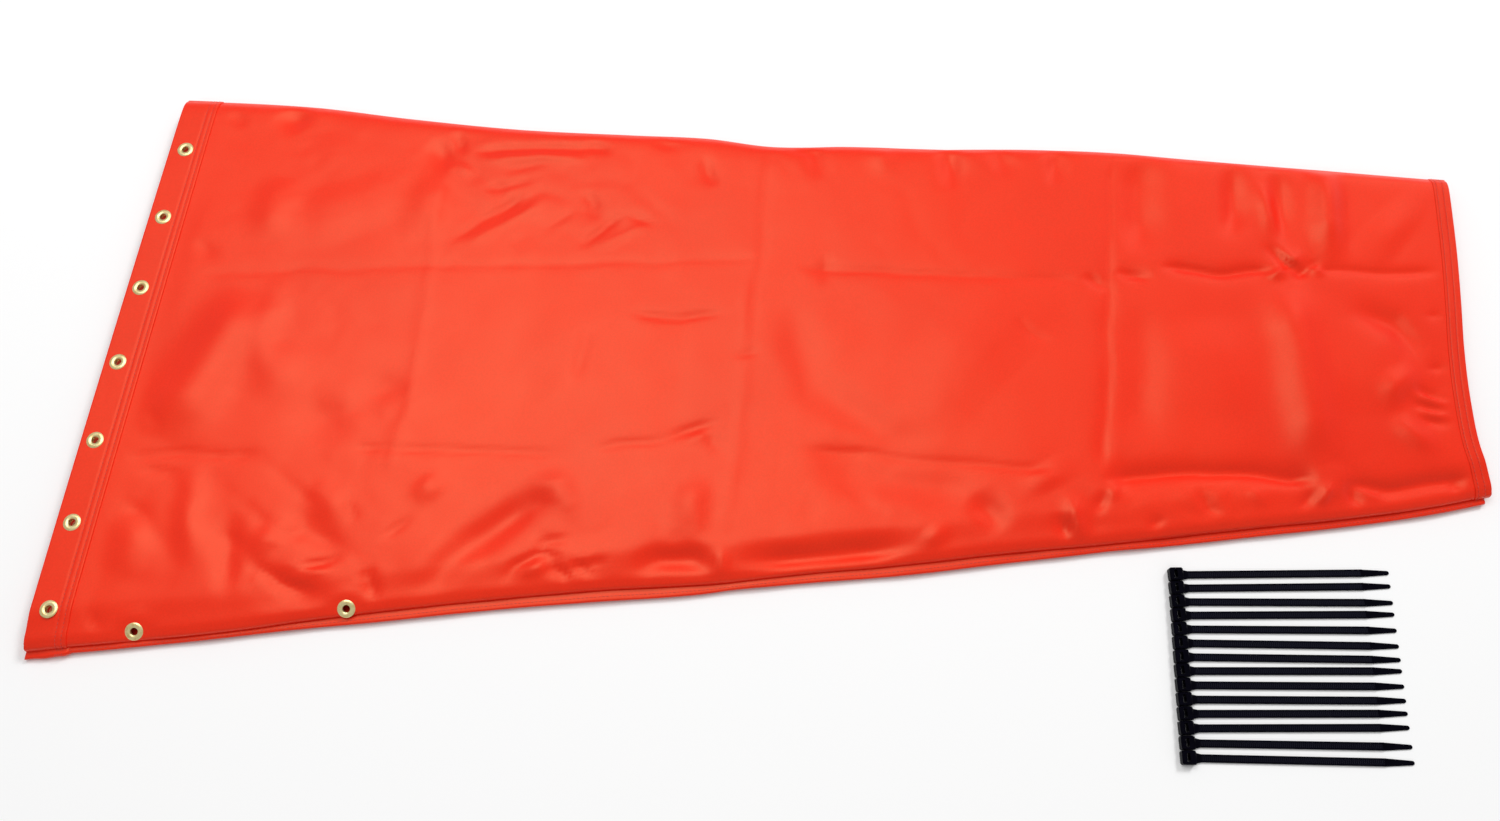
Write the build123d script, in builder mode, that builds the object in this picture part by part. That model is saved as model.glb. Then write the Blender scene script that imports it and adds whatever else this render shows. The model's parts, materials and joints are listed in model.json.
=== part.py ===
from build123d import *
from math import cos, radians, sin, sqrt
import os

# A tapered cloth windsock laid flat on the ground, with its brass eyelets and the
# fourteen cable ties that lash it to a throat ring. The sleeve runs from its wide
# throat to its narrow tail along +X. The origin is on the ground, on the axis of
# the middle throat eyelet.

# Driving dimensions, mm ------------------------------------------------------
sleeve_length = 914.0       # along the axis, from throat edge to tail edge
throat_flat_width = 401.0   # across the laid sleeve at the throat, seam lip included
tail_flat_width = 235.0     # across the laid sleeve at the tail
rake = 6.0                  # lean of the throat and tail edges, degrees
throat_bow = 4.2            # how far the throat edge bulges past its own corners
ply = 0.6                   # one layer of coated cloth
laid_height = 11.0          # height of the laid sleeve over its outer faces
edge_height = 4.0           # height of the laid sleeve at its folded edge
shoulder_width = 18.0       # the cloth rises over this width beside each edge
band_width = 25.0           # throat band, along the sleeve
band_plies = 3              # layers stitched together in the throat band
band_overhang = 2.0         # the band's end reaches this far past the seam lip
tail_hem_width = 11.0       # tail hem, along the sleeve
seam_lip = 4.0              # seam allowance that stands out along one long edge
seam_plies = 4              # layers in the seam lip
fold_station = 424.0        # where the sleeve folds in half, along the axis
fold_gap = 1.0              # slit between the two halves at the fold
hinge_clearance = 0.4       # fold axis above the sleeve's highest face

eyelets_in_row = 7          # on each face of the laid throat
row_far_gap = 41.7          # along the throat edge, from its plain corner to the first eyelet
row_near_gap = 29.7         # along the throat edge, from its seam corner to the last eyelet
eyelet_setback = 12.0       # from the throat edge to the eyelet's centre
eyelet_bore = 2.4           # radius
eyelet_barrel = 2.8         # outer radius of the barrel
eyelet_flange = 5.55        # outer radius of the flange and the washer
flange_height = 0.6
roll_radius = 3.7           # outer radius of the barrel's rolled end
roll_height = 0.45
washer_thickness = 0.5
barrel_clearance = 0.05     # between the barrel and what it passes through
keeper_stations = [45.0, 174.0]   # body eyelets beside the seam, along the axis
keeper_inset = 6.5          # from the seam line up the shoulder

tie_count = 14
tie_length = 139.7
tie_pitch = 8.55
tie_column = Vector(681.0, -154.0)   # heel of the first tie's head
tie_column_lean = -0.67     # each next head starts this much nearer the throat
tie_turns = [-0.5, -0.5, -1.3, -0.8, -1.4, -1.9, -1.8, -1.1, -1.4, -1.4, -1.0, -0.9, -2.0, -2.3]
head_length = 8.6
head_width = 8.2
head_height = 4.9
slot_length = 1.9
slot_setback = 2.9          # from the head's heel to the slot
strap_width = 4.7
strap_thickness = 1.15
strap_web = 0.7             # floor of the ratchet track
track_width = 2.9
slot_clearance = 0.25       # around the strap in the head's slot
head_corner = 1.3           # radius of the head's upright corners
head_bevel = 0.6            # around the head's top
neck_length = 4.0
neck_width = 6.9            # where the neck meets the head
neck_bury = 1.0             # how far the strap runs on inside the head
tooth_pitch = 1.2
tooth_run = 0.96            # sloping part of each tooth
tooth_height = 0.4
tip_length = 17.0
tip_width = 2.6
pawl_thickness = 0.6
pawl_reach = 0.8            # how far the pawl leans into the slot
pawl_foot = 1.5             # height of the pawl's lower root
pawl_tip = 3.5              # height of the pawl's free end
pawl_bury = 0.2             # overlap with the slot's wall
pawl_relief = 0.1           # the pawl is this much narrower than the track, each side

os.makedirs("parts", exist_ok=True)

# Places that follow from them ------------------------------------------------
lean = radians(rake)
along_edge = Vector(sin(lean), cos(lean))      # up the throat edge
off_edge = Vector(cos(lean), -sin(lean))       # square to it, into the sleeve
half_throat = throat_flat_width / 2
half_tail = tail_flat_width / 2
half_edge = half_throat / cos(lean)
eyelet_spacing = (2 * half_edge - row_far_gap - row_near_gap) / (eyelets_in_row - 1)
row_shift = (row_near_gap - row_far_gap) / 2    # the row's middle from the throat's middle
taper = (half_throat - half_tail) / sleeve_length
bow_radius = (half_edge**2 + throat_bow**2) / (2 * throat_bow)
shoulder_slope = (laid_height - edge_height) / shoulder_width


def bulge(across):
    """How far the bowed throat edge stands out past the line through its corners."""
    return throat_bow * (1 - (across / half_edge) ** 2)


def row_place(across):
    """An eyelet's place from the throat's middle, in the row that follows the edge."""
    return along_edge * across + off_edge * (eyelet_setback - bulge(across))


throat_centre = -row_place(row_shift)    # puts the middle eyelet on the origin

band_base = flange_height                # underside of the throat band
sleeve_base = band_base + ply            # underside of the sleeve
sleeve_top = sleeve_base + laid_height
band_top = sleeve_top + ply
band_wall = band_plies * ply
total_height = band_top + flange_height
tool_height = 2 * total_height           # cutting bodies reach well past the part
end_margin = 60.0                        # lofts run this far past both ends
side_margin = 60.0


def on_axis(station, across=0.0):
    """A point beside the sleeve's axis, across it along the raked edges."""
    return throat_centre + Vector(station, 0) + along_edge * across


def cross_plane(station):
    origin = on_axis(station)
    return Plane(origin=(origin.X, origin.Y, 0), x_dir=(0, 1, 0), z_dir=(1, 0, 0))


def half_width(station):
    return half_throat - taper * station


def skin(station, inset):
    """Corners of the laid sleeve's cross-section, a given distance inside its outer face."""
    far = half_width(station)
    near = far - seam_lip
    slant = inset * sqrt(1 + shoulder_slope**2)
    low = sleeve_base + inset
    side = sleeve_base + edge_height + shoulder_slope * inset - slant
    high = sleeve_top - inset
    crown = (laid_height - inset - edge_height + slant) / shoulder_slope
    return [
        (far - inset, low),
        (far - inset, side),
        (far - crown, high),
        (crown - near, high),
        (inset - near, side),
        (inset - near, low),
    ]


def stretch(start, end):
    """Corners of the ground between two raked lines across the sleeve."""
    reach = half_throat + side_margin
    ends = [(start, -reach), (end, -reach), (end, reach), (start, reach)]
    return [tuple(on_axis(station, across))[:2] for station, across in ends]


def laid_tube(outer_inset, inner_inset, start, end):
    """An open tapered tube with the sleeve's section, between two raked ends."""
    with BuildPart() as tube:
        for inset, action in ((outer_inset, Mode.ADD), (inner_inset, Mode.SUBTRACT)):
            for station in (-end_margin, sleeve_length + end_margin):
                with BuildSketch(cross_plane(station)):
                    Polygon(*skin(station, inset), align=None)
            loft(ruled=True, mode=action)
        with BuildSketch(Plane.XY):
            Polygon(*stretch(start, end), align=None)
        extrude(amount=tool_height, mode=Mode.INTERSECT)
    return tube.part


def lip_strip(start, end, base, height, overhang=0.0):
    """The seam allowance beside the sleeve, between two raked ends."""
    outer, inner = [], []
    for station in (-end_margin, sleeve_length + end_margin):
        origin = on_axis(station)
        edge = origin.Y - half_width(station)
        outer.append((origin.X, edge - overhang))
        inner.append((origin.X, edge + seam_lip))
    with BuildPart() as strip:
        with BuildSketch(Plane.XY.offset(base)):
            Polygon(outer[0], outer[1], inner[1], inner[0], align=None)
        extrude(amount=height)
        with BuildSketch(Plane.XY):
            Polygon(*stretch(start, end), align=None)
        extrude(amount=tool_height, mode=Mode.INTERSECT)
    return strip.part


# Where the stretches meet, as stations along the axis
band_end = band_width / cos(lean)
fold_start = fold_station - fold_gap / 2
fold_end = fold_station + fold_gap / 2
hem_start = sleeve_length - tail_hem_width / cos(lean)


def keeper_seat(station):
    """A plane on the shoulder above the seam, facing out of the cloth."""
    origin = on_axis(station)
    across = half_width(station) - seam_lip - keeper_inset
    height = sleeve_base + edge_height + shoulder_slope * keeper_inset
    rise = laid_height - edge_height
    return Plane(
        origin=(origin.X, origin.Y - across, height),
        x_dir=(1, taper, 0),
        z_dir=(taper * rise, -rise, shoulder_width),
    )


throat_points = []
for number in range(eyelets_in_row):
    seat = throat_centre + row_place(half_edge - row_far_gap - number * eyelet_spacing)
    throat_points.append((seat.X, seat.Y))
keeper_planes = [keeper_seat(station) for station in keeper_stations]
cloth_hole = eyelet_barrel + barrel_clearance

# Sleeve, throat half ---------------------------------------------------------
with BuildPart() as sleeve_throat_half:
    add(laid_tube(0, ply, band_end, fold_start))
    for plane in keeper_planes:
        with BuildSketch(plane):
            Circle(cloth_hole)
        extrude(amount=2 * ply, both=True, mode=Mode.SUBTRACT)
sleeve_throat_half.part.label = "sleeve_throat_half"
export_step(sleeve_throat_half.part, "parts/sleeve_throat_half.step")

# Sleeve, tail half -----------------------------------------------------------
with BuildPart() as sleeve_tail_half:
    add(laid_tube(0, ply, fold_end, hem_start))
sleeve_tail_half.part.label = "sleeve_tail_half"
export_step(sleeve_tail_half.part, "parts/sleeve_tail_half.step")

# Side seam lips, one on each half --------------------------------------------
seam_height = seam_plies * ply
with BuildPart() as side_seam_throat_half:
    add(lip_strip(band_end, fold_start, sleeve_base, seam_height))
side_seam_throat_half.part.label = "side_seam_throat_half"
export_step(side_seam_throat_half.part, "parts/side_seam_throat_half.step")

with BuildPart() as side_seam_tail_half:
    add(lip_strip(fold_end, hem_start, sleeve_base, seam_height))
side_seam_tail_half.part.label = "side_seam_tail_half"
export_step(side_seam_tail_half.part, "parts/side_seam_tail_half.step")

# Throat band: folded over the mouth, with a tab over the seam's end ----------
bow_centre = throat_centre + off_edge * (bow_radius - throat_bow)
with BuildPart() as throat_band:
    add(laid_tube(-ply, band_wall - ply, -band_width, band_end))
    add(lip_strip(-band_width, band_end, band_base, seam_height + 2 * ply, band_overhang))
    with BuildSketch(Plane.XY):
        with Locations((bow_centre.X, bow_centre.Y)):
            Circle(bow_radius)
    extrude(amount=tool_height, mode=Mode.INTERSECT)
    with BuildSketch(Plane.XY):
        with Locations(*throat_points):
            Circle(cloth_hole)
    extrude(amount=tool_height, mode=Mode.SUBTRACT)
throat_band.part.label = "throat_band"
export_step(throat_band.part, "parts/throat_band.step")

# Tail hem: a rolled hem that stands out on both faces ------------------------
with BuildPart() as tail_hem:
    add(laid_tube(-sleeve_base, ply, hem_start, sleeve_length))
    add(lip_strip(hem_start, sleeve_length, sleeve_base, seam_height))
tail_hem.part.label = "tail_hem"
export_step(tail_hem.part, "parts/tail_hem.step")


# Eyelets and washers ---------------------------------------------------------
def set_eyelet(grip):
    """An eyelet whose flange sits at height 0, with the cloth it grips below."""
    roll_top = -grip - washer_thickness
    roll_end = roll_top - roll_height
    with BuildPart() as eyelet:
        with BuildSketch(Plane.XZ):
            with BuildLine():
                Line((eyelet_bore, roll_end), (eyelet_bore, flange_height / 3))
                ThreePointArc(
                    (eyelet_bore, flange_height / 3),
                    ((eyelet_bore + eyelet_flange) / 2, flange_height),
                    (eyelet_flange, flange_height / 6),
                )
                Line((eyelet_flange, flange_height / 6), (eyelet_flange, 0))
                Line((eyelet_flange, 0), (eyelet_barrel, 0))
                Line((eyelet_barrel, 0), (eyelet_barrel, roll_top))
                Line((eyelet_barrel, roll_top), (roll_radius, roll_top))
                ThreePointArc(
                    (roll_radius, roll_top),
                    ((eyelet_bore + roll_radius) / 2, roll_end - roll_height / 6),
                    (eyelet_bore, roll_end),
                )
            make_face()
        revolve(axis=Axis.Z)
    return eyelet.part


def set_washer(grip):
    """The washer that an eyelet's barrel is rolled over, under the cloth."""
    inner = eyelet_barrel + barrel_clearance
    with BuildPart() as washer:
        with BuildSketch(Plane.XZ):
            with BuildLine():
                Polyline(
                    (inner, -grip),
                    (eyelet_flange, -grip),
                    (eyelet_flange, -grip - washer_thickness / 2),
                    (eyelet_flange - washer_thickness / 2, -grip - washer_thickness),
                    (inner, -grip - washer_thickness),
                    close=True,
                )
            make_face()
        revolve(axis=Axis.Z)
    return washer.part


band_set = {"eyelet": set_eyelet(band_wall), "washer": set_washer(band_wall)}
body_set = {"eyelet": set_eyelet(ply), "washer": set_washer(ply)}

for number, (x, y) in enumerate(throat_points, start=1):
    faces = {
        "upper": Plane(origin=(x, y, band_top), z_dir=(0, 0, 1)),
        "lower": Plane(origin=(x, y, band_base), z_dir=(0, 0, -1)),
    }
    for side, seat in faces.items():
        for kind, pattern in band_set.items():
            name = f"{side}_{kind}_{number}"
            with BuildPart() as placed:
                with Locations(seat.location):
                    add(pattern)
            placed.part.label = name
            export_step(placed.part, f"parts/{name}.step")

for number, seat in enumerate(keeper_planes, start=1):
    for kind, pattern in body_set.items():
        name = f"body_{kind}_{number}"
        with BuildPart() as placed:
            with Locations(seat.location):
                add(pattern)
        placed.part.label = name
        export_step(placed.part, f"parts/{name}.step")

# Cable tie: head, ratchet strap with side rails, tapered tip -----------------
strap_end = tie_length - tip_length
strap_start = head_length - neck_bury
track_start = head_length + neck_length
slot_width = strap_width + 2 * slot_clearance
slot_middle = slot_setback + slot_length / 2
slot_face = slot_setback + slot_length
tooth_count = int((strap_end - track_start) / tooth_pitch)
track_end = track_start + tooth_count * tooth_pitch
rail_width = (strap_width - track_width) / 2
rail_centre = (track_width + rail_width) / 2
rail_length = strap_end - head_length
rail_middle = (strap_end + head_length) / 2
half_strap = strap_width / 2
half_neck = neck_width / 2
half_tip = tip_width / 2
tip_shoulder = tie_length - half_tip

with BuildPart() as tie_strap:
    with BuildSketch(Plane.XY):
        with BuildLine():
            Polyline((tip_shoulder, half_tip), (strap_end, half_strap), (strap_start, half_strap))
            Line((strap_start, half_strap), (strap_start, -half_strap))
            Polyline((strap_start, -half_strap), (strap_end, -half_strap), (tip_shoulder, -half_tip))
            ThreePointArc((tip_shoulder, -half_tip), (tie_length, 0), (tip_shoulder, half_tip))
        make_face()
    extrude(amount=strap_web)
    # rails beside the ratchet track
    with BuildSketch(Plane.XY):
        with Locations((rail_middle, rail_centre), (rail_middle, -rail_centre)):
            Rectangle(rail_length, rail_width)
    extrude(amount=strap_thickness)
    # saw teeth between the rails, leaning towards the tip
    tooth_line = [(track_start, strap_web / 2)]
    for tooth in range(tooth_count):
        foot = track_start + tooth * tooth_pitch
        tooth_line += [(foot, strap_web), (foot + tooth_run, strap_web + tooth_height)]
    tooth_line += [(track_end, strap_web), (track_end, strap_web / 2)]
    with BuildSketch(Plane.XZ):
        with BuildLine():
            Polyline(*tooth_line, close=True)
        make_face()
    extrude(amount=track_width / 2, both=True)
    # neck that spreads into the head
    with BuildSketch(Plane.XY):
        with BuildLine():
            Polyline(
                (strap_start, half_neck),
                (strap_start, -half_neck),
                (track_start, -half_strap),
                (track_start, half_strap),
                close=True,
            )
        make_face()
    extrude(amount=strap_thickness)

with BuildPart() as tie_head:
    with BuildSketch(Plane.XY):
        with Locations((head_length / 2, 0)):
            RectangleRounded(head_length, head_width, head_corner)
    extrude(amount=head_height)
    chamfer(tie_head.edges().group_by(Axis.Z)[-1], length=head_bevel)
    with BuildSketch(Plane.XY):
        with Locations((slot_middle, 0)):
            Rectangle(slot_length, slot_width)
    extrude(amount=head_height, mode=Mode.SUBTRACT)
    # the pawl hangs from the slot's strap side and leans across it
    with BuildSketch(Plane.XZ):
        with BuildLine():
            Polyline(
                (slot_face + pawl_bury, pawl_foot),
                (slot_face + pawl_bury, pawl_foot + pawl_thickness),
                (slot_face - pawl_reach, pawl_tip),
                (slot_face - pawl_reach, pawl_tip - pawl_thickness),
                close=True,
            )
        make_face()
    extrude(amount=track_width / 2 - pawl_relief, both=True)

for number, turn in enumerate(tie_turns[:tie_count], start=1):
    heel = tie_column + Vector(tie_column_lean, -tie_pitch) * (number - 1)
    name = f"cable_tie_{number}"
    with BuildPart() as placed:
        with Locations(Location((heel.X, heel.Y, 0), (0, 0, turn))):
            add(tie_strap.part)
            add(tie_head.part)
    placed.part.label = name
    export_step(placed.part, f"parts/{name}.step")

# Axis of the half-way fold, just above the sleeve's highest face
hinge_height = total_height + hinge_clearance
hinge = on_axis(fold_station)
print("fold axis through", hinge.X, hinge.Y, hinge_height, "along", along_edge.X, along_edge.Y)
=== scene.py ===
import json
import math
import bmesh
import bpy
import numpy as np
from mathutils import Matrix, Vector, noise


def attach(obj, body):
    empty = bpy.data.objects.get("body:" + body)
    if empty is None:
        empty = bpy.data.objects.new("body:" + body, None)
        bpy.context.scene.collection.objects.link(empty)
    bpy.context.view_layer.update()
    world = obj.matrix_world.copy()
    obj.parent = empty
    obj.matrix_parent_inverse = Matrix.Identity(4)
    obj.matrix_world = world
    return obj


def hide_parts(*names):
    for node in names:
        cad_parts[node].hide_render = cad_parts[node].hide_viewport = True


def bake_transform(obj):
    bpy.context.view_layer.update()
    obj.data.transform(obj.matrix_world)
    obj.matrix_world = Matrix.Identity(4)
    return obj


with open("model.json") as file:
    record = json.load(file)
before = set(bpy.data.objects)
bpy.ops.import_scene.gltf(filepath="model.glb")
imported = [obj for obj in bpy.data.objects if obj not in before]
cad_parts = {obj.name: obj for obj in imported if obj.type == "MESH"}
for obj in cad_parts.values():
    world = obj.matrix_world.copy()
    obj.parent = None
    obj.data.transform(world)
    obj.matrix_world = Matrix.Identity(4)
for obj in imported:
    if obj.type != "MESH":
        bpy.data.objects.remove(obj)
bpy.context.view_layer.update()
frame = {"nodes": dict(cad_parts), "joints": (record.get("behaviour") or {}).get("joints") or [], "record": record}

mm = 0.001
scene = bpy.context.scene

# Where the laid sleeve is: everything hangs on the fold's hinge and the eyelet mounts
hinge = next(j for j in frame["joints"] if j["name"] == "half_fold")
mounts = {m["name"]: m for m in frame["record"]["mounts"]}
cadNodes = frame["nodes"]

laid = {
    "length": 914 * mm, "throatWidth": 401 * mm, "tailWidth": 235 * mm, "foldStation": 424 * mm,
    "ply": 0.6 * mm, "underside": 1.2 * mm, "height": 11 * mm, "edgeHeight": 4 * mm,
    "shoulder": 25.2 * mm, "margin": 9 * mm, "marginHeight": 8.9 * mm,
    "edgeRise": 3.4 * mm, "farRise": 3.2 * mm, "farRun": 30 * mm,
    "sagRun": 30 * mm, "sagShare": 0.6, "edgeRound": 2 * mm, "crownBlend": 1.2 * mm,
    "seamLip": 4 * mm, "overMount": 0.775 * mm,
    "throatBow": 1.6 * mm, "bowFade": 60 * mm, "tailFade": 90 * mm,
    "bandWidth": 25 * mm, "hemWidth": 11 * mm, "tuck": 6 * mm,
    "holeRadius": 2.85 * mm,
}
throatHalf, tailHalf = laid["throatWidth"] / 2, laid["tailWidth"] / 2
taper = (throatHalf - tailHalf) / laid["length"]
lean = math.atan2(hinge["axis"][0], hinge["axis"][1]) % math.pi
throatX = hinge["pos_m"][0] - laid["foldStation"]
throatY = hinge["pos_m"][1]
bandEnd = laid["bandWidth"] / math.cos(lean)
hemStart = laid["length"] - laid["hemWidth"] / math.cos(lean)


# small curves used by every cloth piece

def smoothStep(v, low, high):
    t = np.clip((v - low) / (high - low), 0, 1)
    return t * t * (3 - 2 * t)


def softMin(a, b, blend):
    h = np.clip(0.5 + 0.5 * (b - a) / blend, 0, 1)
    return b + (a - b) * h - blend * h * (1 - h)


def easyCurve(knots, v):
    # a smooth line through a few given knots: cubic runs with averaged slopes
    x = np.array([k[0] for k in knots], float)
    y = np.array([k[1] for k in knots], float)
    slope = np.gradient(y, x)
    i = np.clip(np.searchsorted(x, v) - 1, 0, len(x) - 2)
    run = x[i + 1] - x[i]
    t = np.clip((v - x[i]) / run, 0, 1)
    a, b = 2 * t**3 - 3 * t**2 + 1, t**3 - 2 * t**2 + t
    return a * y[i] + b * run * slope[i] + (1 - a) * y[i + 1] + (t**3 - t**2) * run * slope[i + 1]


# the sleeve's outline: how far each long edge wanders off its straight line, and how far the
# tail's edge is drawn back from its own, in mm

edgeWander = {
    "far": [(0, 3), (0.05, 4.2), (0.1, 4.2), (0.18, -0.5), (0.27, -3.8), (0.36, -2.6),
            (0.42, -1.6), (0.468, -5), (0.53, -1), (0.6, 1.4), (0.67, 5.8), (0.74, 7.6),
            (0.79, 6.2), (0.87, 4.4), (1, 2)],
    "near": [(0, -0.4), (0.07, 0.6), (0.12, 1.2), (0.2, -0.8), (0.31, -1.2), (0.38, 0.2), (0.463, 3.8),
             (0.52, 3.6), (0.59, 4.8), (0.66, 4.4), (0.73, 5.4), (0.82, 5.2), (0.91, 5.4),
             (0.96, 3.8), (1, 0.6)],
    "tail": [(-1, 0), (-0.86, 3), (-0.7, 7), (-0.45, 9), (-0.1, 8.5), (0.15, 6.5), (0.45, 4.6), (1, 3.4)],
}


def halfWidth(s):
    return throatHalf - taper * s


def farEdge(s):
    return halfWidth(s) + mm * easyCurve(edgeWander["far"], s / laid["length"])


def nearEdge(s):
    return -(halfWidth(s) - laid["seamLip"] + mm * easyCurve(edgeWander["near"], s / laid["length"]))


def onGround(s, y):
    # station along the axis and distance across it, to the frame's x and y
    across = y / halfWidth(s)
    bow = laid["throatBow"] * (1 - 0.5 * across**2) * (1 - smoothStep(s, 0, laid["bowFade"]))
    drawn = mm * easyCurve(edgeWander["tail"], np.clip(across, -1, 1))
    drawn = drawn * smoothStep(s, laid["length"] - laid["tailFade"], laid["length"])
    return throatX + s + y * math.tan(lean) - bow - drawn, throatY + y


# relief of the upper cloth. Each stroke is its width and height in mm, then the places it runs
# through, as shares of the length and of the half width; a valley has a negative height.

pressedLines = {
    "first fold across": [
        (3.5, 0.5, (0.222, 0.99), (0.219, 0.45), (0.227, -0.1), (0.221, -0.5)),
    ],
    "middle fold across": [
        (3, -0.45, (0.468, 0.99), (0.47, 0.38), (0.465, -0.1)),
        (3.5, 0.5, (0.462, 0.3), (0.466, -0.22), (0.465, -0.5), (0.46, -0.8)),
        (3.5, 2.4, (0.459, -0.86), (0.465, -1.01)),
    ],
    "last fold across": [
        (3.5, -1.2, (0.736, 1.0), (0.732, 0.36), (0.728, -0.2), (0.723, -0.68)),
    ],
    "fold foot": [
        (4, 3.0, (0.702, -0.76), (0.706, -0.88), (0.712, -1.02)),
        (3.5, -2.6, (0.694, -0.84), (0.702, -1.0)), (3, -2.2, (0.726, -0.76), (0.72, -0.88)),
        (3, 1.4, (0.733, -0.72), (0.728, -0.84)),
    ],
    "upper fold along": [
        (3, -0.45, (0.05, 0.3), (0.221, 0.34), (0.349, 0.36), (0.47, 0.39)),
        (3.5, -0.9, (0.5, 0.35), (0.6, 0.33), (0.71, 0.29)), (3.5, -2.0, (0.712, 0.33), (0.73, 0.25)),
        (4, -2.2, (0.735, 0.35), (0.767, 0.31)),
        (4, -2.6, (0.772, 0.38), (0.812, 0.35), (0.84, 0.37), (0.86, 0.36)),
        (3.5, -1.5, (0.88, 0.37), (0.93, 0.36), (0.985, 0.36)),
    ],
    "lower fold along": [
        (3, -0.9, (0.03, -0.37), (0.13, -0.38)), (3, -0.8, (0.19, -0.38), (0.34, -0.44)),
        (4, -1.0, (0.51, -0.48), (0.6, -0.56), (0.7, -0.67)),
        (7, -4.4, (0.725, -0.71), (0.793, -0.71), (0.835, -0.75), (0.875, -0.8)),
        (6, -3.0, (0.89, -0.84), (0.926, -0.89), (0.969, -0.87), (0.99, -0.86)),
    ],
    "knuckle": [
        (3.4, -2.8, (0.85, 0.53), (0.865, 0.42), (0.882, 0.33)),
        (3, -2.4, (0.868, 0.31), (0.892, 0.44)), (3, 2.4, (0.858, 0.5), (0.872, 0.42), (0.876, 0.5)),
        (2.8, 2.6, (0.851, 0.31), (0.863, 0.38)), (2.8, 2.2, (0.878, 0.4), (0.895, 0.34)),
    ],
    "top edge": [
        (3, -2.0, (0.221, 0.95), (0.23, 0.83)), (2.6, -1.5, (0.238, 0.85), (0.273, 0.87), (0.34, 0.9)),
        (2.6, 1.0, (0.245, 0.81), (0.29, 0.84), (0.33, 0.84)),
        (3.5, -1.8, (0.417, 0.89), (0.422, 0.81), (0.43, 0.72)), (3, -1.8, (0.48, 0.94), (0.511, 0.93)),
        (2.6, 1.2, (0.225, 0.8), (0.24, 0.74)), (3, -1.4, (0.326, 0.92), (0.345, 0.87)),
        (3, -1.2, (0.37, 0.95), (0.4, 0.9)),
    ],
    "upper field": [
        (3, -1.3, (0.231, 0.44), (0.259, 0.56), (0.288, 0.66)),
        (2.8, -1.0, (0.248, 0.67), (0.272, 0.7), (0.292, 0.74)),
        (3, -1.5, (0.328, 0.69), (0.337, 0.63), (0.342, 0.56)),
        (2.8, -1.5, (0.33, 0.43), (0.346, 0.51), (0.36, 0.59)), (2.8, -1.1, (0.36, 0.59), (0.39, 0.54)),
        (2.6, -0.9, (0.284, 0.7), (0.27, 0.58)), (2.6, 0.9, (0.244, 0.42), (0.272, 0.54), (0.3, 0.62)),
        (2.6, -0.8, (0.3, 0.5), (0.327, 0.6)), (2.6, -0.8, (0.262, 0.76), (0.3, 0.82)),
        (2.6, 0.8, (0.345, 0.42), (0.385, 0.56)),
    ],
    "middle field": [
        (2.6, -1.1, (0.375, 0.14), (0.414, 0.11), (0.447, 0.14)),
        (2.4, -1.0, (0.456, -0.06), (0.477, -0.05)), (3, -0.8, (0.347, 0.1), (0.343, -0.18)),
        (3.5, -1.5, (0.412, -0.41), (0.436, -0.36), (0.454, -0.33)),
        (3, 0.8, (0.428, -0.43), (0.448, -0.38)), (3, -1.0, (0.442, -0.37), (0.456, -0.48)),
        (3, -0.9, (0.518, 0.44), (0.522, 0.25)), (2.8, -0.9, (0.36, -0.43), (0.42, -0.41)),
        (2.8, -0.9, (0.66, 0.12), (0.674, 0.02), (0.69, -0.03)),
    ],
    "second eyelet": [
        (2.8, -2.0, (0.165, -0.81), (0.189, -0.79), (0.203, -0.77)),
        (3, -2.0, (0.14, -0.77), (0.164, -0.85), (0.189, -0.88)),
        (2.6, 1.4, (0.16, -0.79), (0.2, -0.83)),
        (2.8, -2.2, (0.213, -0.85), (0.222, -0.84), (0.232, -0.95)),
        (2.6, -1.2, (0.225, -0.72), (0.245, -0.64)), (2.6, -1.0, (0.205, -0.66), (0.192, -0.54)),
    ],
    "by the middle fold": [
        (2.8, -2.2, (0.315, -0.92), (0.321, -0.86), (0.338, -0.83), (0.356, -0.86)),
        (2.8, -2.2, (0.337, -0.85), (0.354, -0.91), (0.358, -0.98)),
        (2.6, -2.0, (0.356, -0.88), (0.382, -0.87)), (2.6, -1.8, (0.359, -0.86), (0.375, -0.94)),
        (2.8, 1.8, (0.326, -0.9), (0.345, -0.87)), (2.8, 1.8, (0.364, -0.84), (0.372, -0.9)),
        (2.6, -1.2, (0.33, -0.8), (0.36, -0.78)),
    ],
    "tail strip": [
        (3.5, -2.2, (0.79, -0.79), (0.797, -0.9), (0.807, -0.94)),
        (3.5, -2.4, (0.894, -0.85), (0.907, -0.99)), (3.5, 2.8, (0.884, -0.83), (0.874, -0.95)),
        (3, -2.0, (0.872, -0.84), (0.862, -0.95)), (3, -2.0, (0.756, -0.96), (0.767, -0.92)),
        (3, 1.6, (0.9, -0.86), (0.92, -0.95)), (3, -1.4, (0.97, -0.93), (0.982, -0.88)),
        (3, 1.2, (0.825, -0.82), (0.84, -0.92)),
    ],
    "hem": [
        (2.6, -2.2, (0.955, -0.32), (0.982, -0.43)), (2.4, -1.8, (0.952, -0.41), (0.982, -0.5)),
        (2.4, -1.6, (0.956, -0.5), (0.984, -0.57)), (2.4, 1.6, (0.955, -0.37), (0.982, -0.465)),
        (2.4, 1.3, (0.955, -0.46), (0.984, -0.535)), (2.4, -1.0, (0.968, -0.22), (0.986, -0.22)),
        (2.4, -0.8, (0.972, 0.1), (0.986, 0.1)),
    ],
    "by the throat": [
        (2.8, -1.0, (0.04, -0.41), (0.08, -0.46)), (2.8, -0.9, (0.039, 0.43), (0.058, 0.36)),
        (2.8, -0.9, (0.038, 0.97), (0.055, 0.89)), (2.8, -1.0, (0.035, -0.84), (0.053, -0.98)),
        (2.8, -0.8, (0.04, -0.52), (0.07, -0.62)), (2.8, -0.8, (0.04, -0.2), (0.055, -0.28)),
    ],
}
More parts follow.
